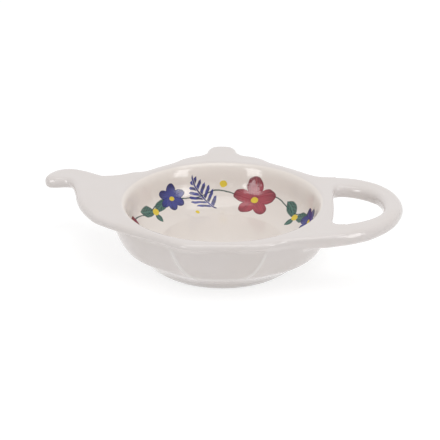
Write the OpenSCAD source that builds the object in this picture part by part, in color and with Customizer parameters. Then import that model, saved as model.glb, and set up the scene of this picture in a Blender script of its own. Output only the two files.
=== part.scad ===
// Teapot-shaped tea bag rest: one glazed ceramic body made of a foot ring, a bowl, a rim plate,
// a spout, a lid knob and a handle loop. Millimetres, z up. Spout to the left, handle to the right,
// base edge to the front (-y), lid knob to the back (+y).

/* [Well] */
// Diameter of the well at its edge, on the rim
well_d = 84.6; // [76:0.2:86]
// Radius of the rolled edge of the well
well_roll = 3; // [2:0.1:4]
// Height of the middle of the well's floor above the table
floor_z = 6.8; // [6.2:0.1:8.4]
// Radius of the cove between the well's wall and its floor
cove_r = 14; // [9:0.5:17]
// Rise of the well's floor from its middle to the cove
floor_dish = 0.8; // [0.2:0.1:1.6]
// Draft of the well's wall, in degrees
well_draft = 13; // [8:1:16]

/* [Rim] */
// Height of the rim above the table
rest_h = 26; // [24:0.5:30]
// Width of the rim at the base edge
ledge_w = 2.7; // [2.2:0.1:4]
// Thickness of the rim plate
rim_t = 3.4; // [2.6:0.1:4.2]

/* [Bowl] */
// How far the bowl's wall bulges past the radius of the base edge
bowl_bulge = 0.8; // [0:0.1:2]
// How much further it bulges below the handle
handle_bulge = 2; // [0:0.1:2.6]
// Step from the rim's base edge in to the flat front panel
panel_step = 2.4; // [1.8:0.1:3]
// Lean of the front panel from the rim down to the foot
panel_lean = 4; // [2:0.1:4.5]
// Height of the soft ridge round the front panel
ridge_h = 0.35; // [0:0.05:0.6]

/* [Foot] */
// Diameter of the foot where it meets the bowl
foot_d = 66; // [60:0.2:70]
// Height of the foot ring
foot_h = 3; // [2:0.1:3.6]
// How far the foot draws in from the bowl down to the table
foot_draw = 3.4; // [2.6:0.1:5]
// Width of the foot's flat on the table
foot_w = 3.2; // [2.4:0.1:5]

/* [Spout] */
// Length of the spout beyond its root
spout_l = 26; // [18:0.5:34]
// Height of the spout's crest above the middle line of the well
spout_rise = 35.1; // [33:0.1:38]
// Thickness of the spout at its lip
spout_t = 5.8; // [4.4:0.1:6.5]

/* [Handle] */
// Reach of the handle loop beyond its roots
handle_reach = 25.3; // [20:0.1:32]
// Height of the handle loop in plan
handle_h = 60; // [57:0.2:63]
// Thickness of the handle
handle_t = 6.2; // [4.6:0.1:7]

/* [Lid] */
// Length of the lid knob beyond its root
knob_l = 8.4; // [6:0.1:12]
// Width of the lid knob at its root
knob_w = 14.4; // [12:0.2:18]

/* [Hidden] */
glaze = [0.87, 0.84, 0.81];

well_r = well_d / 2;
body_r = well_r + ledge_w;
bowl_r = body_r + bowl_bulge;
foot_r = foot_d / 2;
wall_top = rest_h - rim_t;

// Rounding of the plate's edge and of the handle's edge, as shares of their thickness
edge_share = 0.47;
handle_round_share = 0.42;
edge_r = edge_share * rim_t;
handle_r = handle_round_share * handle_t;

// Roots of the spout, the handle and the knob, beyond the body's radius
spout_root = 5;
handle_root = 3.5;
knob_root = 8;
spout_x = -(body_r + spout_root);
handle_x = body_r + handle_root;
knob_y = body_r + knob_root;
// Middle of the handle loop, in front of the middle line of the well
handle_drop = 4.8;
// Length over which the rounding of the rim's underside fades out towards the handle's roots
handle_fade = 30;
// Height over which the bowl's wall runs out under the handle's roots
root_run = 0.8;
// Step from the rim's underside in to the bowl's wall
wall_step = 0.4;
// Overrun of the cuts
over = 1;

// Samples along a stretch of an outline, round an edge, a cove, the well's roll and the bowl
stretch_n = 4;
edge_n = 3;
arc_n = 10;
roll_n = 6;
floor_n = 4;
bowl_n = 96;
turned_n = 96;

// Front edge from the spout's root to the handle's root, as shares of the body's radius
front_shares = [[-0.86, -0.63], [-0.664, -0.757], [-0.5, -0.868], [-0.405, -0.948],
    [-0.3, -0.996], [-0.15, -1], [0, -1], [0.15, -1], [0.3, -0.998],
    [0.42, -0.966], [0.525, -0.905], [0.66, -0.867], [0.85, -0.838]];
// Lid, its shoulder and the side below it, from the knob outwards
lid_shares = [[0.21, 1.115], [0.3, 1.08], [0.4, 1.012], [0.475, 0.922], [0.61, 0.818], [0.745, 0.705]];
right_valley_shares = [[0.86, 0.602], [0.95, 0.566]];
left_valley_shares = [[-0.86, 0.678], [-0.97, 0.62]];

// Crest, lip and underside of the spout, as shares of its length and its rise
spout_top_share = 0.762;
spout_low_share = -0.548;
spout_shares = [[0.1, 0.8], [0.3, 0.907], [0.49, 0.982], [0.65, 1], [0.8, 0.96], [0.92, 0.87],
    [0.975, 0.775], [0.975, 0.715], [0.93, 0.667], [0.83, 0.645], [0.7, 0.637], [0.59, 0.62],
    [0.515, 0.54], [0.468, 0.41], [0.425, 0.26], [0.388, 0.09], [0.33, -0.08], [0.25, -0.235],
    [0.14, -0.4]];

// Outer and inner edge of the handle, as shares of its reach and of half its height
handle_outer_shares = [[0.12, -0.955], [0.33, -0.86], [0.56, -0.7], [0.77, -0.5], [0.915, -0.265],
    [0.995, -0.02], [0.98, 0.26], [0.88, 0.53], [0.68, 0.765], [0.41, 0.92], [0.17, 0.985]];
handle_inner_shares = [[0.1, -0.58], [0.24, -0.53], [0.38, -0.455], [0.51, -0.36], [0.61, -0.23],
    [0.665, -0.06], [0.66, 0.14], [0.6, 0.33], [0.475, 0.475], [0.3, 0.565], [0.13, 0.605]];
handle_slot_share = 0.616;
// Body's edge inside the handle, as shares of the handle's root and of half its height
slot_shares = [[0.4, -0.63], [-0.06, -0.61], [-0.28, -0.545], [-0.2, -0.44], [0.03, -0.25],
    [0.2, -0.02], [0.3, 0.25], [0.42, 0.44], [0.65, 0.58]];
// Right half of the knob, as shares of half its width and of its length
knob_shares = [[0.93, 0.25], [0.84, 0.55], [0.62, 0.86], [0.32, 0.975]];

// Profile of the bowl's wall from the foot to the rim, as shares of its height and of its flare
wall_shares = [[0, 0], [0.16, 0.29], [0.27, 0.54], [0.34, 0.645], [0.5, 0.785], [0.75, 0.925], [1, 1]];
wall_n = 2;
// Softness of the bowl's joins, and half the width of the ridge round the front panel
join_soft = 0.9;
panel_soft = 0.4;
ridge_half = 1.6;
// Sideways share of the direction in which the handle's roots begin, and reach their full depth
root_end_share = 0.55;
root_full_share = 0.75;
// Rounding left on the rim's underside at the handle's roots
least_round_share = 0.35;

function mix(a, b, t) = a + (b - a) * t;
function unit(v) = v / norm(v);
function left_of(v) = [-v[1], v[0]];
function mirrored(pts) = [for (p = pts) [-p[0], p[1]]];
function reversed(pts) = [for (i = [len(pts) - 1 : -1 : 0]) pts[i]];
function last(pts) = pts[len(pts) - 1];
function scaled(pts, x0, y0, sx, sy) = [for (p = pts) [x0 + p[0] * sx, y0 + p[1] * sy]];
function soft_min(a, b, k) = b - k * ln(1 + exp((b - a) / k));

// Smooth curve through points; the first and the last point only give the direction at the ends
function curve_at(a, b, c, d, t) =
    (2 * b + (c - a) * t + (2 * a - 5 * b + 4 * c - d) * t * t
     + (3 * b - a - 3 * c + d) * t * t * t) / 2;
function curve(pts, n) = [
    for (i = [1 : len(pts) - 3]) for (k = [0 : n - 1])
        curve_at(pts[i - 1], pts[i], pts[i + 1], pts[i + 2], k / n),
    pts[len(pts) - 2]];

// Outline moved inwards by d; its two ends slide along cuts whose inward directions are a and b
function end_shift(p, q, d, axis) = d * axis / max(left_of(unit(q - p)) * axis, 0.5);
function inset(c, d, a, b) = [
    c[0] + end_shift(c[0], c[1], d, a),
    for (i = [1 : len(c) - 2]) c[i] + d * left_of(unit(c[i + 1] - c[i - 1])),
    last(c) + end_shift(c[len(c) - 2], last(c), d, b)];

// Corners where the roots are cut
spout_low = [spout_x, spout_low_share * spout_rise];
spout_top = [spout_x, spout_top_share * spout_rise];
handle_low = [handle_x, -handle_drop - handle_h / 2];
handle_top = [handle_x, -handle_drop + handle_h / 2];
slot_low = [handle_x, -handle_drop - handle_slot_share * handle_h / 2];
slot_top = [handle_x, -handle_drop + handle_slot_share * handle_h / 2];
knob_right = [knob_w / 2, knob_y];
knob_left = [-knob_w / 2, knob_y];

front_pts = scaled(front_shares, 0, 0, body_r, body_r);
lid_pts = scaled(lid_shares, 0, 0, body_r, body_r);
right_pts = scaled(right_valley_shares, 0, 0, body_r, body_r);
left_pts = scaled(left_valley_shares, 0, 0, body_r, body_r);
spout_pts = scaled(spout_shares, spout_x, 0, -spout_l, spout_rise);
outer_pts = scaled(handle_outer_shares, handle_x, -handle_drop, handle_reach, handle_h / 2);
inner_pts = scaled(handle_inner_shares, handle_x, -handle_drop, handle_reach, handle_h / 2);
slot_pts = scaled(slot_shares, body_r, -handle_drop, handle_root, handle_h / 2);
knob_half = scaled(knob_shares, 0, knob_y, knob_w / 2, knob_l);
knob_pts = concat(knob_half, [[0, knob_y + knob_l]], reversed(mirrored(knob_half)));

// Edges seen from above, running anticlockwise from root to root
front_edge = curve(concat([last(spout_pts), spout_low], front_pts, [handle_low, outer_pts[0]]),
    stretch_n);
slot_edge = curve(concat([inner_pts[0], slot_low], slot_pts, [slot_top, last(inner_pts)]),
    stretch_n);
right_edge = curve(concat([last(outer_pts), handle_top], reversed(right_pts), reversed(lid_pts),
    [knob_right, knob_pts[0]]), stretch_n);
left_edge = curve(concat([last(knob_pts), knob_left], mirrored(lid_pts), left_pts,
    [spout_top, spout_pts[0]]), stretch_n);
// The spout's crest has more points on some stretches, to match those on its underside in number
crest_shares = [2, 2, 2, 2, 1, 1, 1, 1];
spout_line = concat([last(left_pts), spout_top], spout_pts, [spout_low, front_pts[0]]);
spout_edge = concat(
    [for (i = [1 : len(crest_shares)]) let (n = crest_shares[i - 1] * stretch_n) for (k = [0 : n - 1])
        curve_at(spout_line[i - 1], spout_line[i], spout_line[i + 1], spout_line[i + 2], k / n)],
    curve([for (i = [len(crest_shares) : len(spout_line) - 1]) spout_line[i]], stretch_n));
knob_edge = curve(concat([lid_pts[0], knob_right], knob_pts, [knob_left, mirrored(lid_pts)[0]]),
    stretch_n);
outer_edge = curve(concat([last(front_pts), handle_low], outer_pts, [handle_top, last(right_pts)]),
    stretch_n);
inner_edge = curve(concat([slot_pts[0], slot_low], inner_pts, [slot_top, last(slot_pts)]),
    stretch_n);

// Points on the straight cuts of the rim, where the spout, the handle and the knob join
spout_cut_n = 12;
handle_cut_n = 3;
knob_cut_n = 4;
function along_cut(a, b, n) = [for (k = [1 : n]) mix(last(a), b[0], k / (n + 1))];
function rim_outline(d) = let (
    front = inset(front_edge, d, [0, 1], [0, 1]),
    slot = inset(slot_edge, d, [0, -1], [0, 1]),
    right = inset(right_edge, d, [0, -1], [-1, 0]),
    left = inset(left_edge, d, [1, 0], [0, -1]))
    concat(front, along_cut(front, slot, handle_cut_n), slot, along_cut(slot, right, handle_cut_n),
        right, along_cut(right, left, knob_cut_n), left, along_cut(left, front, spout_cut_n));

// Rounded edge of a plate, from the underside to the top: distance inwards and height
function edge_profile(r, t) = concat(
    [for (k = [0 : edge_n]) let (a = 90 * k / edge_n) [r * (1 - sin(a)), r * (1 - cos(a))]],
    [for (k = [0 : edge_n]) let (a = 90 * k / edge_n) [r * (1 - cos(a)), t - r * (1 - sin(a))]]);
rim_profile = edge_profile(edge_r, rim_t);
handle_profile = edge_profile(handle_r, handle_t);

// Faces that close a ring of n points: strips across a limb, from its root to its tip, or a fan
// round the centre, which is point c
function strips(n) = [for (i = [0 : ceil(n / 2) - 2])
    i + 1 == n - 2 - i ? [i, i + 1, n - 1 - i] : [i, i + 1, n - 2 - i, n - 1 - i]];
function fan(n, c) = [for (i = [0 : n - 1]) [i, (i + 1) % n, c]];
function flipped(faces, shift) = [for (f = faces) [for (i = [len(f) - 1 : -1 : 0]) f[i] + shift]];

// Solid between rings of points, each anticlockwise as seen from the ring after it. Its ends are
// closed by strips or by a fan, and in a loop the last ring joins the first one
module skin(rings, ends = "strips") {
    n = len(rings[0]);
    top = len(rings) - 1;
    centres = [[0, 0, rings[0][0][2]], [0, 0, rings[top][0][2]]];
    points = concat([for (ring = rings) for (p = ring) p], ends == "fan" ? centres : []);
    sides = [for (i = [0 : ends == "loop" ? top : top - 1]) for (j = [0 : n - 1])
        let (next = (i + 1) % len(rings))
        [i * n + j, next * n + j, next * n + (j + 1) % n, i * n + (j + 1) % n]];
    first_faces = ends == "fan" ? fan(n, (top + 1) * n) : strips(n);
    last_faces = flipped(ends == "fan" ? fan(n, n + 1) : strips(n), top * n);
    polyhedron(points, ends == "loop" ? sides : concat(first_faces, last_faces, sides),
        convexity = 8);
}

// The part's origin lies under the middle of its outline
all_x = [for (p = concat(spout_edge, outer_edge)) p[0]];
all_y = [for (p = concat(front_edge, knob_edge)) p[1]];
centre = [(min(all_x) + max(all_x)) / 2, (min(all_y) + max(all_y)) / 2];
module placed() {
    color(glaze) translate([-centre[0], -centre[1], 0]) children();
}

// Well: dished floor, cove, drafted wall and rolled edge, from the axis outwards
roll_z = rest_h - well_roll;
cove_z = floor_z + floor_dish;
wall_run = roll_z + well_roll * sin(well_draft) - cove_z - cove_r * (1 - sin(well_draft));
cove_x = well_r - (well_roll + cove_r) * cos(well_draft) - wall_run * tan(well_draft);
floor_pts = [for (k = [0 : floor_n - 1])
    [cove_x * k / floor_n, floor_z + floor_dish * pow(k / floor_n, 2)]];
cove_pts = [for (k = [0 : arc_n]) let (a = (90 - well_draft) * k / arc_n)
    [cove_x + cove_r * sin(a), cove_z + cove_r * (1 - cos(a))]];
roll_pts = [for (k = [roll_n : -1 : 0]) let (a = (90 - well_draft) * k / roll_n)
    [well_r - well_roll * sin(a), roll_z + well_roll * cos(a)]];
module well_cut() {
    rotate_extrude($fn = turned_n)
        polygon(concat([[0, rest_h + over]], floor_pts, cove_pts, roll_pts, [[well_r, rest_h + over]]));
}

// Distance from the axis to an outline, in direction a
function hit(p, w, u) = let (
    c = u[0] * w[1] - u[1] * w[0],
    s = c == 0 ? -1 : (p[0] * u[1] - p[1] * u[0]) / c)
    s >= 0 && s <= 1 ? (p[0] * w[1] - p[1] * w[0]) / c : -1;
function reach(pts, a) = let (
    u = [cos(a), sin(a)],
    hits = [for (i = [0 : len(pts) - 1]) hit(pts[i], pts[(i + 1) % len(pts)] - pts[i], u)])
    min([for (h = hits) if (h > 0) h]);

// Rim plate: its underside's rounding fades out towards the handle's roots
function smooth(s) = let (c = min(max(s, 0), 1)) c * c * (3 - 2 * c);
function round_share(x) = 1 - (1 - least_round_share) * smooth(1 - (handle_x - x) / handle_fade);
function rim_ring(k) = let (
    e = rim_profile[k],
    outer = rim_outline(0),
    inner = rim_outline(e[0]))
    [for (i = [0 : len(outer) - 1]) let (
        f = k > edge_n ? 1 : round_share(outer[i][0]),
        p = mix(outer[i], inner[i], f))
        [p[0], p[1], wall_top + (k > edge_n ? e[1] : e[1] * f)]];

// Well's side of the rim, from the top down
rim_wall = concat(reversed(roll_pts),
    [[roll_pts[0][0] - (roll_pts[0][1] - wall_top) * tan(well_draft), wall_top]]);
// Directions, as seen from the well's axis, in which a point of the well's side lies to the left
// of the outline's edge from p to q; t is the direction of the edge's own end
function left_range(p, q, t) = let (
    d = unit(q - p),
    s = min((d[0] * p[1] - d[1] * p[0]) / last(rim_wall)[0], 1),
    low = s > -1 ? atan2(d[1], d[0]) + asin(s) : t - 360,
    width = s > -1 ? 180 - 2 * asin(s) : 720,
    past = s > -1 ? t - low - 360 * floor((t - low) / 360) : 360,
    back = past > width && past - width > 360 - past ? past - 360 : past)
    [t - back, t - back + width];
// Directions in which the rim's points are joined to the well's side: they grow all the way round,
// and no join crosses the outline
least_turn = 0.3;
rim_turns = let (
    pts = rim_outline(edge_r),
    n = len(pts),
    start = atan2(pts[0][1], pts[0][0]),
    own = [for (p = pts) start + (atan2(p[1], p[0]) - start + 360) % 360],
    ranges = [for (i = [0 : n - 1]) [left_range(pts[(i + n - 1) % n], pts[i], own[i]),
        left_range(pts[i], pts[(i + 1) % n], own[i])]],
    most = [for (i = [0 : n - 1]) min(own[i], ranges[i][0][1], ranges[i][1][1])],
    kept = [for (i = [0 : n - 1]) max(ranges[i][0][0], ranges[i][1][0],
        min([for (j = [i : n - 1]) most[j] - least_turn * (j - i)]))])
    [for (i = [0 : n - 1]) max([for (j = [0 : i]) kept[j] + least_turn * (i - j)])];
module rim() {
    placed() skin(concat(
        [for (k = [0 : len(rim_profile) - 1]) rim_ring(k)],
        [for (w = rim_wall) [for (a = rim_turns) [w[0] * cos(a), w[0] * sin(a), w[1]]]]),
        ends = "loop");
}

// Bowl's wall: the foot's circle flares out to the rim, and a flat panel cuts it at the front
under_rim = [for (p = rim_ring(0)) [p[0], p[1]]];
wall_angles = [for (k = [0 : bowl_n - 1]) 360 * k / bowl_n];
rim_reaches = [for (a = wall_angles) reach(under_rim, a) - wall_step];
function bulge_r(a) = bowl_r + handle_bulge * pow((1 + cos(a)) / 2, 2);
wall_tops = [for (k = [0 : bowl_n - 1]) soft_min(rim_reaches[k], bulge_r(wall_angles[k]), join_soft)];
wall_curve = curve(concat([wall_shares[0]], wall_shares, [last(wall_shares)]), wall_n);
wall_h = wall_top - foot_h;
function panel_r(a, up) = (body_r - panel_step - panel_lean * (1 - up)) / max(-sin(a), 0.3);
function wall_r(k, up, out) = let (
    round_r = mix(foot_r, wall_tops[k], out),
    flat_r = panel_r(wall_angles[k], up),
    ridge = ridge_h * exp(-pow((round_r - flat_r) / ridge_half, 2)))
    soft_min(round_r, flat_r, panel_soft) + ridge * (1 - up) * out * 4;
function wall_ring(p) = [for (k = [0 : bowl_n - 1]) let (r = wall_r(k, p[0], p[1]), a = wall_angles[k])
    [r * cos(a), r * sin(a), foot_h + wall_h * p[0]]];

// Under the handle's roots the wall runs out to the rim's edge, as deep as the handle is thick
root_low = rest_h - handle_t;
root_up = (root_low - root_run - foot_h) / wall_h;
root_out = lookup(root_up, wall_curve);
function root_share(a) = smooth((cos(a) - root_end_share) / (root_full_share - root_end_share));
function root_ring(e) = let (
    z = min(root_low + e[1], wall_top),
    up = (z - foot_h) / wall_h,
    out = lookup(up, wall_curve),
    edge = rim_outline(e[0]))
    [for (k = [0 : bowl_n - 1]) let (
        a = wall_angles[k],
        wall = wall_r(k, up, out),
        root = min(reach(edge, a), reach(under_rim, a)),
        r = wall + max(root - wall, 0) * root_share(a))
        [r * cos(a), r * sin(a), z]];
module bowl() {
    placed() difference() {
        skin(concat([for (p = wall_curve) if (p[0] < root_up) wall_ring(p)],
            [wall_ring([root_up, root_out])],
            [for (k = [0 : edge_n]) root_ring(handle_profile[k])],
            [root_ring([0, handle_t])]), ends = "fan");
        well_cut();
    }
}

// Foot: a flat ring on the table whose outer face flares out to the bowl
foot_rise_share = 1.25;
module foot_ring() {
    flat_r = foot_r - foot_draw;
    placed() rotate_extrude($fn = turned_n)
        polygon(concat(
            [[flat_r - foot_w, foot_h], [flat_r - foot_w, 0]],
            [for (k = [0 : arc_n])
                [foot_r - foot_draw * pow(1 - k / arc_n, foot_rise_share), foot_h * k / arc_n]]));
}

// Thickness of the spout and rounding of its edge, changing evenly from its root to its lip
lip_round_share = 0.41;
function spout_t_at(x) = mix(rim_t, spout_t, (spout_x - x) / spout_l);
function spout_round(x) = mix(edge_share, lip_round_share, (spout_x - x) / spout_l) * spout_t_at(x);
function spout_ring(k) = let (c = inset(spout_edge, rim_profile[k][0], [0, -1], [0, 1]))
    [for (i = [0 : len(c) - 1]) let (
        p = mix(spout_edge[i], c[i], spout_round(spout_edge[i][0]) / edge_r),
        t = spout_t_at(p[0]))
        [p[0], p[1], rest_h - t + edge_profile(spout_round(p[0]), t)[k][1]]];
module spout() {
    placed() skin([for (k = [0 : len(rim_profile) - 1]) spout_ring(k)]);
}

module knob() {
    placed() skin([for (e = rim_profile)
        [for (p = inset(knob_edge, e[0], [-1, 0], [1, 0])) [p[0], p[1], wall_top + e[1]]]]);
}

// Section of the handle at a station, between its inner and its outer edge
function handle_ring(k) = let (
    a = inner_edge[k],
    b = outer_edge[k],
    across = unit(b - a))
    concat(
        [for (e = handle_profile) let (p = a + across * e[0]) [p[0], p[1], root_low + e[1]]],
        [for (e = reversed(handle_profile)) let (p = b - across * e[0])
            [p[0], p[1], root_low + e[1]]]);
module handle() {
    placed() skin([for (k = [0 : len(outer_edge) - 1]) handle_ring(k)]);
}

foot_ring();
bowl();
rim();
spout();
knob();
handle();
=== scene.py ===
"""Teapot-shaped tea bag rest: its glazed ceramic pieces, the painted well and the stage."""

import math

import bpy
from bpy.props import (
    FloatProperty,
    FloatVectorProperty,
    IntProperty,
    PointerProperty,
    StringProperty,
)
from bpy.types import Operator, Panel, PropertyGroup
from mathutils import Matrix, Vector


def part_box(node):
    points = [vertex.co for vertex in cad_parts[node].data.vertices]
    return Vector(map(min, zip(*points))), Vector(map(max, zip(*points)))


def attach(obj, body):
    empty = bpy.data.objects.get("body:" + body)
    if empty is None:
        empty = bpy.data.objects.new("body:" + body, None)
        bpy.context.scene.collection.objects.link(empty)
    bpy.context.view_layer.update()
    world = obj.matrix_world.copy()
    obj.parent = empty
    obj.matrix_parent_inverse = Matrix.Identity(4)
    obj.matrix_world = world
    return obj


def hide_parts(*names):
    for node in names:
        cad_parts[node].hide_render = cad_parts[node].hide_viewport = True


bl_info = {
    "name": "Tea Bag Rest",
    "version": (1, 0, 0),
    "blender": (4, 5, 0),
    "location": "View3D > Sidebar > Tea Bag Rest",
    "description": "Makes a glazed, hand-painted tea bag rest in the shape of a teapot",
    "category": "Object",
}

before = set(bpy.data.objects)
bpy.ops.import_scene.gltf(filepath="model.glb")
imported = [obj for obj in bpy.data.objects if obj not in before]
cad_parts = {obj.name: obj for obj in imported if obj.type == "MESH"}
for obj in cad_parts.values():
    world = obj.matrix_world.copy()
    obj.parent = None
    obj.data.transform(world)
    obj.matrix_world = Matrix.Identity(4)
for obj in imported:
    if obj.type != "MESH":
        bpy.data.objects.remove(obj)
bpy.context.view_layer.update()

MM = 0.001
NODES = ("foot_ring", "bowl", "rim", "spout", "knob", "handle")
BODY = "cast_body"
# A face whose normal rises more than this looks up
FACES_UP = 0.1

FOOT_LOW, FOOT_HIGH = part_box("foot_ring")
WELL_AXIS = (FOOT_LOW + FOOT_HIGH) / 2
# The well's edge lies this far outside the foot's widest circle
WELL_RADIUS = (FOOT_HIGH.x - FOOT_LOW.x) / 2 + 9.3 * MM
SPOUT_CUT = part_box("spout")[1].x
HANDLE_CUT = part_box("handle")[0].x
KNOB_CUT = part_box("knob")[0].y
# The level cuts lie a little below the flat faces of the bowl's underside and of the rim's,
# so that they cross only the walls
LEVEL_STEP = 0.3 * MM
FOOT_CUT = FOOT_HIGH.z - LEVEL_STEP
RIM_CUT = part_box("rim")[0].z - LEVEL_STEP
REST_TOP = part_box("rim")[1].z

X, Y, Z = 0, 1, 2
KEEP_LOW, KEEP_HIGH = -1, 1
CUTS = {
    "foot_ring": [(Z, FOOT_CUT, KEEP_LOW)],
    "bowl": [
        (X, SPOUT_CUT, KEEP_HIGH),
        (X, HANDLE_CUT, KEEP_LOW),
        (Z, FOOT_CUT, KEEP_HIGH),
        (Z, RIM_CUT, KEEP_LOW),
    ],
    "rim": [
        (X, SPOUT_CUT, KEEP_HIGH),
        (X, HANDLE_CUT, KEEP_LOW),
        (Y, KNOB_CUT, KEEP_LOW),
        (Z, RIM_CUT, KEEP_HIGH),
    ],
    "spout": [(X, SPOUT_CUT, KEEP_LOW)],
    "knob": [(Y, KNOB_CUT, KEEP_HIGH)],
    "handle": [(X, HANDLE_CUT, KEEP_HIGH)],
}

# Raised line round the front panel, in millimetres from the well's axis: its middle, half its
# width, its lowest level, its rise to the rim and how sharply it bends
PANEL_MIDDLE, PANEL_HALF, PANEL_LOW, PANEL_RISE, PANEL_BEND = -1.4, 18.5, 8.5, 13.5, 4.2
# Past this share of half its width the line climbs no further
PANEL_END = 1.2

# Section of the well, in millimetres: the floor's level, the radius where the cove starts, the
# cove's own radius and height, the level from which the wall leans out, and its lean
WELL_FLOOR, COVE_START, COVE_RADIUS, COVE_HEIGHT = 7.6, 24.5, 14.0, 14.0 * 0.775
WALL_START, WALL_LEAN = 18.5, 0.23

# The painting: fields round the well, the radius that lengths along it are measured on, and the
# level of its middle line, in millimetres
FIELDS, PAINT_RADIUS, PAINT_LINE = 3, 33.5, 37.8
# A level is the distance from the well's axis, and this share of the height above the floor
CLIMB_SHARE = 0.6
# Within a field a place is a share of the field's length and a height above the middle line,
# leans are in degrees and sizes in millimetres
STEM_HEIGHT, STEM_SWING, STEM_WAVES = 1.5, 1.5, 3
LEAVES_PLACE, LEAVES_HEIGHT, LEAF_SLIMNESS = 0.86, -1.5, 0.3
LEAVES = ((28, 10.5), (152, 9.5), (-78, 6.5))
SPRIG_PLACE, SPRIG_HEIGHT, SPRIG_LEAN, SPRIG_LENGTH, SPRIG_REACH = 0.52, 0.3, 62, 9.6, 6.4
# Place, height, lean, petals, reach, and the names of the light and the deep colour
BLOOMS = (
    (0.2, -0.5, 12, 5, 9.6, "crimson", "crimson_deep"),
    (0.71, 2.0, -20, 6, 6.2, "navy", "navy_deep"),
)
# Place, height and radius
BUDS = ((0.39, 5.5, 1.5), (0.86, -1.2, 1.9), (0.58, -8.5, 1.2))

# Lamps, in metres and degrees: the two tall windows in front, the high one, and the glow
# from the table
WINDOWS = {"soft_box_left": -39.5, "soft_box_right": 51}
WINDOW_HEIGHT, WINDOW_SIZE = 0.34, (0.34, 0.68)
HIGH_PLACE, HIGH_SIZE, HIGH_SHARE = (0.1, -0.2, 0.98), (0.9, 0.7), 0.95
GLOW_HEIGHT, GLOW_SIZE = 0.5 * MM, (1.6, 1.6)
FLOOR_SIZE = 6.0
# Grey that the floor throws back, and the grey and the glow that make it white when seen
FLOOR_LIT, FLOOR_SEEN, FLOOR_WHITE = (0.9, 0.9, 0.9), (0.34, 0.34, 0.34), 0.76

# Rays that see the floor and the room as plain white
SEEING_RAYS = ("Is Camera Ray", "Is Glossy Ray", "Is Transmission Ray")


def srgb(red, green, blue):
    """A colour written in 0 to 255 as the linear colour that Blender's sockets hold."""
    parts = [c / 255 for c in (red, green, blue)]
    return tuple(c / 12.92 if c <= 0.04045 else ((c + 0.055) / 1.055) ** 2.4 for c in parts)


def colour_property(name, description, rgb):
    return FloatVectorProperty(
        name=name, description=description, default=srgb(*rgb), subtype="COLOR", min=0, max=1
    )


def times_property(name, description, times):
    return IntProperty(name=name, description=description, default=times, min=0)


class RestBodySettings(PropertyGroup):
    grain: FloatProperty(
        name="Grain",
        description="Size of the faces of the finished surface",
        default=0.475 * MM,
        unit="LENGTH",
    )
    fettling: times_property(
        "Fettling", "Times that the cast body is smoothed, as with a wet sponge", 4
    )
    root_fettling: times_property(
        "Root fettling", "Further times for the corners under the handle's roots", 117
    )
    broad_fettling: times_property(
        "Broad fettling", "Further times for the outside of the bowl", 23
    )
    well_fettling: times_property(
        "Well fettling", "Further times for the well's wall and floor", 78
    )
    gloss_fettling: times_property(
        "Gloss fettling", "Further times for the surface that the gloss follows", 11
    )
    panel_ridge: FloatProperty(
        name="Panel ridge",
        description="Height of the raised line round the front panel",
        default=0.6 * MM,
        unit="LENGTH",
    )


class RestGlazeSettings(PropertyGroup):
    cream: colour_property("Cream", "Colour of the glaze", (226, 219, 216))
    thin: colour_property("Thin glaze", "Colour of the glaze where it runs thin", (221, 213, 206))
    # Paler colour on the panel line's crest: partly thin glaze on the ridge, partly a painted
    # highlight
    pale_crest_highlight: colour_property("Pale crest with painted highlight", "Colour of the glaze on ridges", (240, 236, 233))
    # Lighter, warmer glaze in the well: painted bounce light lifting the well's shade
    bounce_lit_well: colour_property("Well glaze with painted bounce light", "Colour of the glaze in the well", (239, 231, 224))
    bisque: colour_property("Bisque", "Colour of the bare clay under the foot", (226, 214, 198))
    crimson: colour_property("Crimson", "Colour of the large blooms", (170, 60, 76))
    crimson_deep: colour_property("Deep crimson", "Colour where the brush rests", (122, 28, 48))
    navy: colour_property("Navy", "Colour of the small blooms and sprigs", (48, 54, 142))
    navy_deep: colour_property("Deep navy", "Colour where the brush rests", (24, 26, 88))
    teal: colour_property("Teal", "Colour of the leaves", (58, 112, 98))
    teal_deep: colour_property("Deep teal", "Colour where the brush rests", (18, 66, 58))
    ochre: colour_property("Ochre", "Colour of the buds and of the blooms' eyes", (228, 200, 56))
    gloss: FloatProperty(
        name="Roughness", description="Roughness of the glaze", default=0.1, min=0, max=1
    )
    turn: FloatProperty(
        name="Turn of the painting",
        description="Angle from the handle's side to the first bloom's field",
        default=math.radians(42),
        subtype="ANGLE",
    )


class RestStageSettings(PropertyGroup):
    elevation: FloatProperty(
        name="Elevation",
        description="Height of the camera above the table, as an angle",
        default=math.radians(24),
        subtype="ANGLE",
    )
    distance: FloatProperty(
        name="Distance",
        description="Distance from the camera to the point that it looks at",
        default=0.6,
        unit="LENGTH",
    )
    aim: FloatVectorProperty(
        name="Aim",
        description="Point that the camera looks at",
        default=(-0.043 * MM, 2.22 * MM, 12 * MM),
        subtype="XYZ",
        unit="LENGTH",
    )
    lens: FloatProperty(
        name="Lens", description="Focal length in millimetres", default=116.8, min=1
    )
    room: FloatProperty(
        name="Room light", description="Strength of the light from all round", default=0.62
    )
    lamp: FloatProperty(
        name="Soft box", description="Power of each soft box", default=3.9, unit="POWER"
    )
    table: FloatProperty(
        name="Table glow",
        description="Power of the light from the table",
        default=0.64,
        unit="POWER",
    )


class Wire:
    """A socket's value, which ordinary arithmetic turns into Math nodes."""

    def __init__(self, finish, socket):
        self.finish = finish
        self.socket = socket

    def __add__(self, other):
        return self.finish.math("ADD", self, other)

    def __sub__(self, other):
        return self.finish.math("SUBTRACT", self, other)

    def __mul__(self, other):
        return self.finish.math("MULTIPLY", self, other)

    def __truediv__(self, other):
        return self.finish.math("DIVIDE", self, other)

    def __pow__(self, other):
        return self.finish.math("POWER", self, other)

    def __abs__(self):
        return self.finish.math("ABSOLUTE", self)

    def __rsub__(self, other):
        return self.finish.math("SUBTRACT", other, self)

    __radd__ = __add__
    __rmul__ = __mul__


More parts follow.
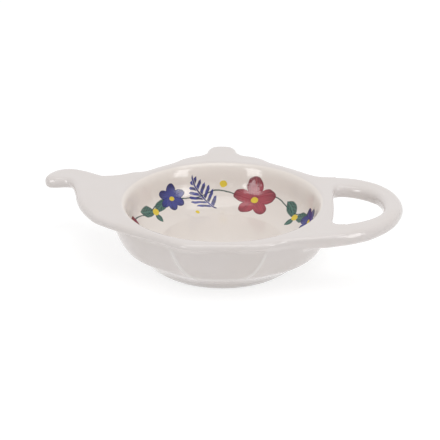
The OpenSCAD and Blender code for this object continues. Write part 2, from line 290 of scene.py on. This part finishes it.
class Finish:
    """A material's nodes, added one by one."""

    def __init__(self, name):
        self.material = bpy.data.materials.new(name)
        self.material.use_nodes = True
        self.tree = self.material.node_tree
        self.tree.nodes.clear()

    def node(self, kind, settings=None, inputs=None, output=0):
        """Adds a node, makes its settings, then fills its sockets, and returns one output."""
        made = self.tree.nodes.new(kind)
        for name, value in (settings or {}).items():
            setattr(made, name, value)
        for key, value in (inputs or {}).items():
            self.fill(made.inputs[key], value)
        return Wire(self, made.outputs[output]) if made.outputs else made

    def fill(self, socket, value):
        if isinstance(value, Wire):
            self.tree.links.new(value.socket, socket)
        elif hasattr(value, "__len__") and len(value) == 3 and socket.type == "RGBA":
            socket.default_value = (*value, 1)
        else:
            socket.default_value = value

    def math(self, operation, *values):
        return self.node("ShaderNodeMath", {"operation": operation}, dict(enumerate(values)))

    def smooth(self, value, low, high):
        """0 below low, 1 above high and a soft step between."""
        return self.node(
            "ShaderNodeMapRange",
            {"interpolation_type": "SMOOTHSTEP"},
            {"Value": value, "From Min": low, "From Max": high},
        )

    def blend(self, share, first, second):
        """The first colour turning to the second one as share grows from 0 to 1."""
        colours = {0: share, 6: first, 7: second}
        return self.node("ShaderNodeMix", {"data_type": "RGBA"}, colours, 2)

    def fraction(self, value):
        """What is left of a value above its whole number."""
        return value - self.math("FLOOR", value)

    def length(self, u, v):
        return self.math("SQRT", u * u + v * v)

    def noise(self, vector, scale, detail=2.0):
        return self.node(
            "ShaderNodeTexNoise", None, {"Vector": vector, "Scale": scale, "Detail": detail}
        )

    def vector(self, x, y, z=0.0):
        return self.node("ShaderNodeCombineXYZ", None, {0: x, 1: y, 2: z})


def turned(u, v, degrees):
    """The two coordinates in axes turned by an angle."""
    c, s = math.cos(math.radians(degrees)), math.sin(math.radians(degrees))
    return u * c + v * s, v * c - u * s


def painted_bloom(finish, u, v, petals, reach):
    """Masks of a bloom's petals and of its eye, and how deep the paint lies on the petals."""
    middle, half_length, half_width = 0.56 * reach, 0.46 * reach, 0.36 * reach
    eye_inside, eye_outside = 0.15 * reach, 0.2 * reach
    # Scales of the brush's hairs along and across a petal, and how much its tip and edge darken
    hair_along, hair_across, tip_depth, edge_depth = 0.12, 1.3, 0.22, 0.2
    spread = finish.length(u, v)
    sector = 2 * math.pi / petals
    part = finish.math("ARCTAN2", v, u) / sector + 0.5
    off = (finish.fraction(part) - 0.5) * sector
    along = spread * finish.math("COSINE", off)
    across = spread * finish.math("SINE", off)
    lobe = 1 - ((along - middle) / half_length) ** 2.0 - (across / half_width) ** 2.0
    petal = finish.smooth(lobe, 0.0, 0.16)
    strokes = finish.vector(along * hair_along, across * hair_across, finish.math("FLOOR", part))
    hair = finish.noise(strokes, 1.0, 3.0)
    tip = finish.smooth(along / reach, 0.45, 1.0)
    edge = 1 - finish.smooth(lobe, 0.05, 0.5)
    deep = finish.smooth(hair + tip * tip_depth + edge * edge_depth, 0.42, 0.86)
    eye = 1 - finish.smooth(spread, eye_inside, eye_outside)
    return petal, eye, deep


def painted_leaf(finish, u, v, length, width):
    """Masks of a pointed leaf that starts at the origin, and how deep the paint lies on it."""
    vein_slant, vein_step, vein_depth, middle_depth = 1.1, 0.16 * length, 0.5, 0.35
    hair_along, hair_across = 0.14, 1.2
    along = u / length
    lens = along * (1 - along) * 4
    side = abs(v) / width
    leaf = finish.smooth(lens - side, 0.02, 0.2) * finish.smooth(lens, 0.0, 0.1)
    vein = abs(finish.fraction((u + abs(v) * vein_slant) / vein_step) - 0.5)
    hair = finish.noise(finish.vector(u * hair_along, v * hair_across), 1.0, 3.0)
    middle = 1 - finish.smooth(abs(v), 0.12, 0.5)
    deep = finish.smooth(hair + vein * vein_depth - middle * middle_depth, 0.34, 0.8)
    return leaf, deep


def painted_sprig(finish, u, v, length, reach):
    """Mask of a stem with a row of brush strokes on both sides."""
    bend, slant, step, half_stroke = 1.6, 0.75, 2.7, 0.36
    along = u / length
    away = abs(v - along * along * bend)
    reach_here = (1 - along * along) * reach
    row = abs(finish.fraction((u - away * slant) / step) - 0.5)
    taper = finish.smooth(reach_here - away, 0.0, 1.6) * half_stroke
    strokes = finish.smooth(taper - row, 0.0, 0.1) * finish.smooth(away, 0.2, 0.7)
    stem = 1 - finish.smooth(away, 0.25, 0.5)
    inside = 1 - finish.smooth(abs(along), 0.88, 1.0)
    return finish.math("MAXIMUM", strokes, stem) * inside


def painted_dot(finish, u, v, radius):
    """Mask of a round dot with a soft edge."""
    return 1 - finish.smooth(finish.length(u, v), radius * 0.8, radius)


def well_painting(finish, colours, place, x, y, z, ground):
    """The glaze's colour with the ring of blooms, leaves and sprigs brushed on the well's side."""
    turns = (finish.math("ARCTAN2", y, x) - colours.turn) * (FIELDS / (2 * math.pi)) + FIELDS
    span = 2 * math.pi / FIELDS * PAINT_RADIUS
    around = finish.fraction(turns) * span
    up = finish.length(x, y) + (z - WELL_FLOOR) * CLIMB_SHARE

    def spot(share, height, lean):
        """Coordinates round a motif, turned by its lean."""
        return turned(around - span * share, up - PAINT_LINE - height, lean)

    # Stem that joins the blooms, under everything else
    swing = finish.math("SINE", around * (2 * math.pi * STEM_WAVES / span)) * STEM_SWING
    stem = 1 - finish.smooth(abs(up - PAINT_LINE - STEM_HEIGHT - swing), 0.16, 0.42)
    on_side = finish.smooth(up, PAINT_LINE - 12, PAINT_LINE - 11)
    ink = finish.smooth(finish.noise(place, 900.0, 2.0), 0.2, 0.6) * 0.25 + 0.7
    colour = finish.blend(stem * ink * on_side, ground, colours.teal_deep)

    for lean, size in LEAVES:
        a, b = spot(LEAVES_PLACE, LEAVES_HEIGHT, lean)
        leaf, deep = painted_leaf(finish, a, b, size, size * LEAF_SLIMNESS)
        tone = finish.blend(deep, colours.teal, colours.teal_deep)
        colour = finish.blend(leaf * 0.96, colour, tone)

    a, b = spot(SPRIG_PLACE, SPRIG_HEIGHT, SPRIG_LEAN)
    sprig = painted_sprig(finish, a, b, SPRIG_LENGTH, SPRIG_REACH)
    deep = finish.smooth(finish.noise(place, 420.0, 3.0), 0.4, 0.62)
    tone = finish.blend(deep, colours.navy, colours.navy_deep)
    colour = finish.blend(sprig * 0.95, colour, tone)

    for share, height, lean, petals, reach, light, dark in BLOOMS:
        a, b = spot(share, height, lean)
        petal, eye, deep = painted_bloom(finish, a, b, petals, reach)
        tone = finish.blend(deep, getattr(colours, light), getattr(colours, dark))
        colour = finish.blend(petal * 0.97, colour, tone)
        colour = finish.blend(eye, colour, colours.ochre)

    for share, height, radius in BUDS:
        dot = painted_dot(finish, *spot(share, height, 0), radius)
        colour = finish.blend(dot, colour, colours.ochre)
    return colour


def inside_well(finish, radius, z):
    """1 on the well's floor, cove and wall and 0 outside, with a step inside the body's wall."""
    height = finish.math("MINIMUM", finish.math("MAXIMUM", z - WELL_FLOOR, 0.0), COVE_HEIGHT)
    run = finish.math("SQRT", COVE_RADIUS**2 - (COVE_RADIUS - height) ** 2.0)
    wall = run + finish.math("MAXIMUM", z - WALL_START, 0.0) * WALL_LEAN + COVE_START
    return (1 - finish.smooth(radius - wall, 1.0, 2.0)) * finish.smooth(z, 6.2, 6.4)


def on_panel_line(finish, x, y, z):
    """1 on the crest of the raised line round the front panel, where the glaze breaks pale and a
    highlight is painted.
    """
    t = finish.math("MINIMUM", abs(x - PANEL_MIDDLE) / PANEL_HALF, PANEL_END)
    slope = t ** (PANEL_BEND - 1) * (PANEL_RISE * PANEL_BEND / PANEL_HALF)
    steep = finish.math("SQRT", slope * slope + 1)
    away = abs(z - PANEL_LOW - t**PANEL_BEND * PANEL_RISE) / steep
    front = finish.smooth(y, -34.0, -35.0) * (1 - finish.smooth(z, RIM_CUT / MM - 2, RIM_CUT / MM))
    return (1 - finish.smooth(away, 0.1, 0.9)) * front


def glaze_material(settings):
    """Cream glaze over clay, with brushwork under it in the well and bare clay under the foot."""
    finish = Finish("hand_painted_glaze")
    place = finish.node("ShaderNodeTexCoord", output="Object")
    apart = finish.node("ShaderNodeSeparateXYZ", None, {0: place}).socket.node
    from_origin = [Wire(finish, apart.outputs[axis]) for axis in (X, Y, Z)]
    x = (from_origin[X] - WELL_AXIS.x) / MM
    y = (from_origin[Y] - WELL_AXIS.y) / MM
    z = from_origin[Z] / MM

    # Glaze with a mottle, pinholes and a pale crest on the panel's line, partly thin glaze and
    # partly a painted highlight
    mottle = finish.noise(place, 55.0, 4.0)
    speck = finish.node(
        "ShaderNodeTexVoronoi", {"feature": "F1"}, {"Vector": place, "Scale": 260.0}, "Distance"
    )
    ground = finish.blend(finish.smooth(mottle, 0.35, 0.75) * 0.35, settings.cream, settings.thin)
    pinhole = (1 - finish.smooth(speck, 0.03, 0.06)) * finish.smooth(mottle, 0.52, 0.56)
    ground = finish.blend(pinhole * 0.35, ground, settings.bisque)
    # Paler crest on the panel's line, partly thin glaze and partly a painted highlight
    ground = finish.blend(on_panel_line(finish, x, y, z) * 0.7, ground, settings.pale_crest_highlight)

    # Well, whose glaze is painted lighter and warmer as bounce light and darker towards the floor,
    # and whose side an unsteady hand has painted
    in_well = inside_well(finish, finish.length(x, y), z)
    # Darker towards the well's floor
    toward_floor = (1 - finish.smooth(z, 7.8, 15.0)) * 0.45
    # The well's lighter, warmer glaze is painted bounce light
    bounce_lit_well = finish.blend(in_well, ground, finish.blend(toward_floor, settings.bounce_lit_well, settings.thin))
    wobble = 2.4
    shaky_x = x + (finish.noise(place, 110.0, 2.0) - 0.5) * wobble
    shaky_y = y + (finish.noise(place, 125.0, 2.0) - 0.5) * wobble
    painted = well_painting(finish, settings, place, shaky_x, shaky_y, z, bounce_lit_well)
    colour = finish.blend(in_well, ground, painted)

    # Foot's face, wiped bare
    bare = 1 - finish.smooth(z, 0.15, 0.35)
    clay = finish.noise(place, 2400.0, 3.0)
    colour = finish.blend(bare, colour, settings.bisque)
    bare_roughness, gloss_spread = 0.62, 0.03
    gloss = (finish.noise(place, 160.0, 3.0) - 0.5) * gloss_spread + settings.gloss
    roughness = gloss * (1 - bare) + bare * bare_roughness

    wave = finish.noise(place, 95.0, 1.0) * 0.5
    height = wave * (1 - bare) + clay * bare * 0.3
    bump = finish.node(
        "ShaderNodeBump", None, {"Strength": 0.12, "Distance": 0.6 * MM, "Height": height}
    )
    shader = finish.node(
        "ShaderNodeBsdfPrincipled",
        None,
        {"Base Color": colour, "Roughness": roughness, "Normal": bump, "IOR": 1.5},
    )
    finish.node("ShaderNodeOutputMaterial", None, {"Surface": shader})
    return finish.material


def select_only(*objects):
    """Deselects everything, then selects these objects and makes the first one active."""
    bpy.ops.object.select_all(action="DESELECT")
    for obj in objects:
        obj.select_set(True)
    bpy.context.view_layer.objects.active = objects[0]


def copied(obj, name):
    """A copy of an object with a mesh of its own, free of the frame's marks."""
    mesh = obj.data.copy()
    made = bpy.data.objects.new(name, mesh)
    bpy.context.scene.collection.objects.link(made)
    return made


def smoothed(obj, times, group=""):
    """Smooths a mesh, or one group of its points, with the Smooth modifier and applies it."""
    select_only(obj)
    bpy.ops.object.modifier_add(type="SMOOTH")
    modifier = obj.modifiers[-1]
    modifier.factor = 0.5
    modifier.iterations = times
    modifier.vertex_group = group
    bpy.ops.object.modifier_apply(modifier=modifier.name)


def voxel_remeshed(obj, grain):
    """Gives a mesh one closed, even surface."""
    select_only(obj)
    obj.data.remesh_voxel_size = grain
    obj.data.use_remesh_fix_poles = False
    bpy.ops.object.voxel_remesh()
    bpy.ops.object.shade_smooth()


def ramp(value, low, high):
    """0 below low, 1 above high and even between."""
    return min(max((value - low) / (high - low), 0), 1)


def grouped(obj, name, share_of):
    """Puts each point in a group of this name, with the share that a function of it gives."""
    group = obj.vertex_groups.new(name=name)
    for v in obj.data.vertices:
        share = share_of(v.co, v.normal)
        if share > 0:
            group.add([v.index], share, "REPLACE")
    return group.name


def off_axis(place):
    """Distance of a point from the well's axis."""
    return (place - WELL_AXIS).xy.length


def root_share(place, _normal):
    """1 under the rim where the handle's roots run into it, and less along its front."""
    outside_well, front_weight = 0.5 * MM, 0.5
    if off_axis(place) < WELL_RADIUS + outside_well:
        return 0
    below = REST_TOP - place.z
    roots = ramp(place.x, HANDLE_CUT - 40 * MM, HANDLE_CUT - 27 * MM)
    roots *= 1 - ramp(place.x, HANDLE_CUT + 5 * MM, HANDLE_CUT + 11 * MM)
    front = ramp(place.x, -36 * MM, -26 * MM) * (1 - roots) if place.y < 0 else 0
    near_cut = 1 - ramp(abs(place.x - HANDLE_CUT), 2 * MM, 6 * MM)
    depth = ramp(below, MM - 0.6 * MM * near_cut, 2 * MM - MM * near_cut)
    under = ramp(below, 1.8 * MM, 3 * MM)
    low = ramp(place.z, REST_TOP * 0.35, REST_TOP * 0.5)
    return low * max(roots * depth, front_weight * front * under)


def well_share(place, normal):
    """1 on the well's wall and floor, fading out towards its edge."""
    if place.z < FOOT_HIGH.z or normal.z < FACES_UP:
        return 0
    return ramp(WELL_RADIUS - off_axis(place), 0.6 * MM, 2.4 * MM)


def broad_share(place, normal):
    """1 on the outside of the bowl, below the rim and above the foot."""
    if normal.z > FACES_UP:
        return 0
    return ramp(RIM_CUT - place.z, 0.6 * MM, 2.2 * MM) * ramp(place.z, 3.6 * MM, 5 * MM)


def panel_share(place, normal):
    """1 on the raised line round the front panel, which bends like a U, and 0 beside it."""
    half_ridge, faces_front = 1.3, -0.3
    x, y, _ = (place - WELL_AXIS) / MM
    z = place.z / MM
    if y > 0 or normal.y > faces_front:
        return 0
    t = min(abs(x - PANEL_MIDDLE) / PANEL_HALF, PANEL_END)
    slope = PANEL_RISE * PANEL_BEND / PANEL_HALF * t ** (PANEL_BEND - 1)
    away = (z - PANEL_LOW - PANEL_RISE * t**PANEL_BEND) / math.hypot(1, slope)
    crest = math.cos(min(abs(away) / half_ridge, 1) * math.pi / 2) ** 2
    return crest * ramp(RIM_CUT / MM - z, 0.4, 1.6)


def raised(obj, name, share_of, height):
    """Raises the surface along its normals by a height times a function's share."""
    select_only(obj)
    group = grouped(obj, name, share_of)
    bpy.ops.object.modifier_add(type="DISPLACE")
    modifier = obj.modifiers[-1]
    modifier.mid_level = 0
    modifier.strength = height
    modifier.vertex_group = group
    bpy.ops.object.modifier_apply(modifier=modifier.name)


def rooted(handle):
    """Runs the handle's two ends straight on into the rim."""
    run, flat, near = 4 * MM, 0.99, 0.01 * MM
    select_only(handle)
    bpy.ops.object.mode_set(mode="EDIT")
    bpy.ops.mesh.select_all(action="DESELECT")
    bpy.ops.object.mode_set(mode="OBJECT")
    for face in handle.data.polygons:
        face.select = face.normal.x < -flat and abs(face.center.x - HANDLE_CUT) < near
    bpy.ops.object.mode_set(mode="EDIT")
    bpy.ops.mesh.extrude_region_move(TRANSFORM_OT_translate={"value": (-run, 0, 0)})
    bpy.ops.object.mode_set(mode="OBJECT")


def take_gloss(obj, source, mapping):
    """Gives a mesh the corner normals of another one."""
    select_only(obj)
    bpy.ops.object.modifier_add(type="DATA_TRANSFER")
    modifier = obj.modifiers[-1]
    modifier.object = source
    modifier.use_loop_data = True
    modifier.data_types_loops = {"CUSTOM_NORMAL"}
    modifier.loop_mapping = mapping
    bpy.ops.object.modifier_apply(modifier=modifier.name)


def cut(obj, axis, place, keep):
    """Cuts a closed mesh level with an axis, keeps one side and closes it with a flat face."""
    normal = [float(axis == along) for along in (X, Y, Z)]
    select_only(obj)
    bpy.ops.object.mode_set(mode="EDIT")
    bpy.ops.mesh.select_all(action="SELECT")
    bpy.ops.mesh.bisect(
        plane_co=[place * n for n in normal],
        plane_no=normal,
        use_fill=True,
        clear_inner=keep == KEEP_HIGH,
        clear_outer=keep == KEEP_LOW,
        threshold=1e-7,
    )
    bpy.ops.object.mode_set(mode="OBJECT")


class REST_OT_cast_body(Operator):
    """Joins the six solids of the frame into one continuous cast body and smooths it"""

    bl_idname = "tea_bag_rest.cast_body"
    bl_label = "Cast the body"

    def execute(self, context):
        settings = context.scene.rest_body
        parts = [copied(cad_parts[name], name + "_cast") for name in NODES]
        rooted(parts[NODES.index("handle")])
        select_only(*parts)
        bpy.ops.object.join()
        body = context.view_layer.objects.active
        body.name = BODY
        body.data.materials.clear()
        bpy.ops.object.mode_set(mode="EDIT")
        bpy.ops.mesh.select_all(action="SELECT")
        bpy.ops.mesh.remove_doubles(threshold=0.001 * MM)
        bpy.ops.object.mode_set(mode="OBJECT")
        voxel_remeshed(body, settings.grain)
        smoothed(body, settings.fettling)
        smoothed(body, settings.root_fettling, grouped(body, "roots", root_share))
        smoothed(body, settings.broad_fettling, grouped(body, "broad", broad_share))
        smoothed(body, settings.well_fettling, grouped(body, "well", well_share))
        raised(body, "panel", panel_share, settings.panel_ridge)
        gloss = copied(body, BODY + "_gloss")
        smoothed(gloss, settings.gloss_fettling)
        take_gloss(body, gloss, "TOPOLOGY")
        bpy.data.objects.remove(gloss)
        return {"FINISHED"}


class REST_OT_cut_piece(Operator):
    """Cuts one named piece out of the cast body and puts it in the place of its solid"""

    bl_idname = "tea_bag_rest.cut_piece"
    bl_label = "Cut a piece"

    node: StringProperty(name="Node", description="Solid that the piece stands for")

    def execute(self, context):
        body = bpy.data.objects[BODY]
        piece = copied(body, "glazed_" + self.node)
        for axis, place, keep in CUTS[self.node]:
            cut(piece, axis, place, keep)
        if not piece.data.polygons:
            raise RuntimeError(f"nothing is left of {self.node}")
        select_only(piece)
        bpy.ops.object.shade_smooth()
        take_gloss(piece, body, "POLYINTERP_NEAREST")
        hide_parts(self.node)
        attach(piece, "root")
        return {"FINISHED"}


class REST_OT_glaze(Operator):
    """Glazes and paints the pieces, and takes the cast body away"""

    bl_idname = "tea_bag_rest.glaze"
    bl_label = "Glaze and paint"

    def execute(self, context):
        material = glaze_material(context.scene.rest_glaze)
        for name in NODES:
            piece = bpy.data.objects["glazed_" + name]
            piece.data.materials.clear()
            piece.data.materials.append(material)
        bpy.data.objects.remove(bpy.data.objects[BODY])
        return {"FINISHED"}


def soft_box(name, place, size, power, aim):
    """A square lamp that faces a point."""
    bpy.ops.object.light_add(type="AREA", location=place)
    lamp = bpy.context.object
    lamp.name = name
    lamp.data.shape = "RECTANGLE"
    lamp.data.size, lamp.data.size_y = size
    lamp.data.energy = power
    lamp.rotation_euler = (Vector(aim) - Vector(place)).to_track_quat("-Z", "Y").to_euler()
    return lamp


def floor_material():
    """White floor that throws its light back, and shows the camera white with a soft shadow."""
    finish = Finish("white_floor")
    ray = finish.node("ShaderNodeLightPath").socket.node
    camera, glossy, through = (Wire(finish, ray.outputs[name]) for name in SEEING_RAYS)
    seen = finish.math("MAXIMUM", camera, finish.math("MAXIMUM", glossy, through))
    tone = finish.blend(seen, FLOOR_LIT, FLOOR_SEEN)
    lit = finish.node("ShaderNodeBsdfDiffuse", None, {"Color": tone})
    white = finish.node("ShaderNodeEmission", None, {"Strength": seen * FLOOR_WHITE})
    both = finish.node("ShaderNodeAddShader", None, {0: lit, 1: white})
    finish.node("ShaderNodeOutputMaterial", None, {"Surface": both})
    return finish.material


def light_room(strength):
    """White surroundings, plain white where the camera or the glaze sees them."""
    world = bpy.context.scene.world or bpy.data.worlds.new("white_room")
    bpy.context.scene.world = world
    world.use_nodes = True
    nodes, links = world.node_tree.nodes, world.node_tree.links
    nodes.clear()
    ray = nodes.new("ShaderNodeLightPath")
    seen = ray.outputs[SEEING_RAYS[0]]
    for name in SEEING_RAYS[1:]:
        either = nodes.new("ShaderNodeMath")
        either.operation = "MAXIMUM"
        links.new(seen, either.inputs[0])
        links.new(ray.outputs[name], either.inputs[1])
        seen = either.outputs[0]
    level = nodes.new("ShaderNodeMapRange")
    level.inputs["To Min"].default_value = strength
    level.inputs["To Max"].default_value = 1.0
    links.new(seen, level.inputs["Value"])
    light = nodes.new("ShaderNodeBackground")
    light.inputs["Color"].default_value = (1, 1, 1, 1)
    links.new(level.outputs[0], light.inputs["Strength"])
    out = nodes.new("ShaderNodeOutputWorld")
    links.new(light.outputs[0], out.inputs["Surface"])


class REST_OT_stage(Operator):
    """Sets the floor, the light and the camera"""

    bl_idname = "tea_bag_rest.stage"
    bl_label = "Set the stage"

    def execute(self, context):
        settings = context.scene.rest_stage
        bpy.ops.object.select_all(action="DESELECT")
        bpy.ops.mesh.primitive_plane_add(size=FLOOR_SIZE, location=(0, 0, 0))
        floor = context.object
        floor.name = "floor"
        floor.data.materials.append(floor_material())

        aim = Vector(settings.aim)
        for name, side in WINDOWS.items():
            turn = math.radians(side)
            place = (math.sin(turn), -math.cos(turn), WINDOW_HEIGHT)
            window = soft_box(name, place, WINDOW_SIZE, settings.lamp, aim)
            window.visible_diffuse = False
        soft_box("soft_box_high", HIGH_PLACE, HIGH_SIZE, settings.lamp * HIGH_SHARE, aim)
        glow_place, straight_up = (0, 0, GLOW_HEIGHT), (0, 0, 1)
        glow = soft_box("table_glow", glow_place, GLOW_SIZE, settings.table, straight_up)
        glow.visible_camera = False
        light_room(settings.room)

        back = math.cos(settings.elevation) * settings.distance
        up = math.sin(settings.elevation) * settings.distance
        bpy.ops.object.camera_add(
            location=(aim.x, aim.y - back, aim.z + up),
            rotation=(math.pi / 2 - settings.elevation, 0, 0),
        )
        camera = context.object
        camera.name = "camera"
        camera.data.lens = settings.lens
        camera.data.sensor_width = 36
        camera.data.clip_start = 0.01
        context.scene.camera = camera
        context.scene.view_settings.view_transform = "Standard"
        return {"FINISHED"}


class REST_PT_sidebar(Panel):
    """Steps and sizes of the tea bag rest"""

    bl_label = "Tea Bag Rest"
    bl_space_type = "VIEW_3D"
    bl_region_type = "UI"
    bl_category = "Tea Bag Rest"

    def draw(self, context):
        layout = self.layout
        scene = context.scene
        steps = (
            (REST_OT_cast_body, scene.rest_body),
            (REST_OT_cut_piece, None),
            (REST_OT_glaze, scene.rest_glaze),
            (REST_OT_stage, scene.rest_stage),
        )
        for step, settings in steps:
            box = layout.box()
            if settings:
                for name in settings.__annotations__:
                    box.prop(settings, name)
            box.operator(step.bl_idname)


CLASSES = (
    RestBodySettings,
    RestGlazeSettings,
    RestStageSettings,
    REST_OT_cast_body,
    REST_OT_cut_piece,
    REST_OT_glaze,
    REST_OT_stage,
    REST_PT_sidebar,
)


def register():
    for cls in CLASSES:
        bpy.utils.register_class(cls)
    bpy.types.Scene.rest_body = PointerProperty(type=RestBodySettings)
    bpy.types.Scene.rest_glaze = PointerProperty(type=RestGlazeSettings)
    bpy.types.Scene.rest_stage = PointerProperty(type=RestStageSettings)


def unregister():
    del bpy.types.Scene.rest_stage
    del bpy.types.Scene.rest_glaze
    del bpy.types.Scene.rest_body
    for cls in reversed(CLASSES):
        bpy.utils.unregister_class(cls)


def main():
    register()
    bpy.ops.tea_bag_rest.cast_body()
    for name in NODES:
        bpy.ops.tea_bag_rest.cut_piece(node=name)
    bpy.ops.tea_bag_rest.glaze()
    bpy.ops.tea_bag_rest.stage()


if __name__ == "__main__":
    main()
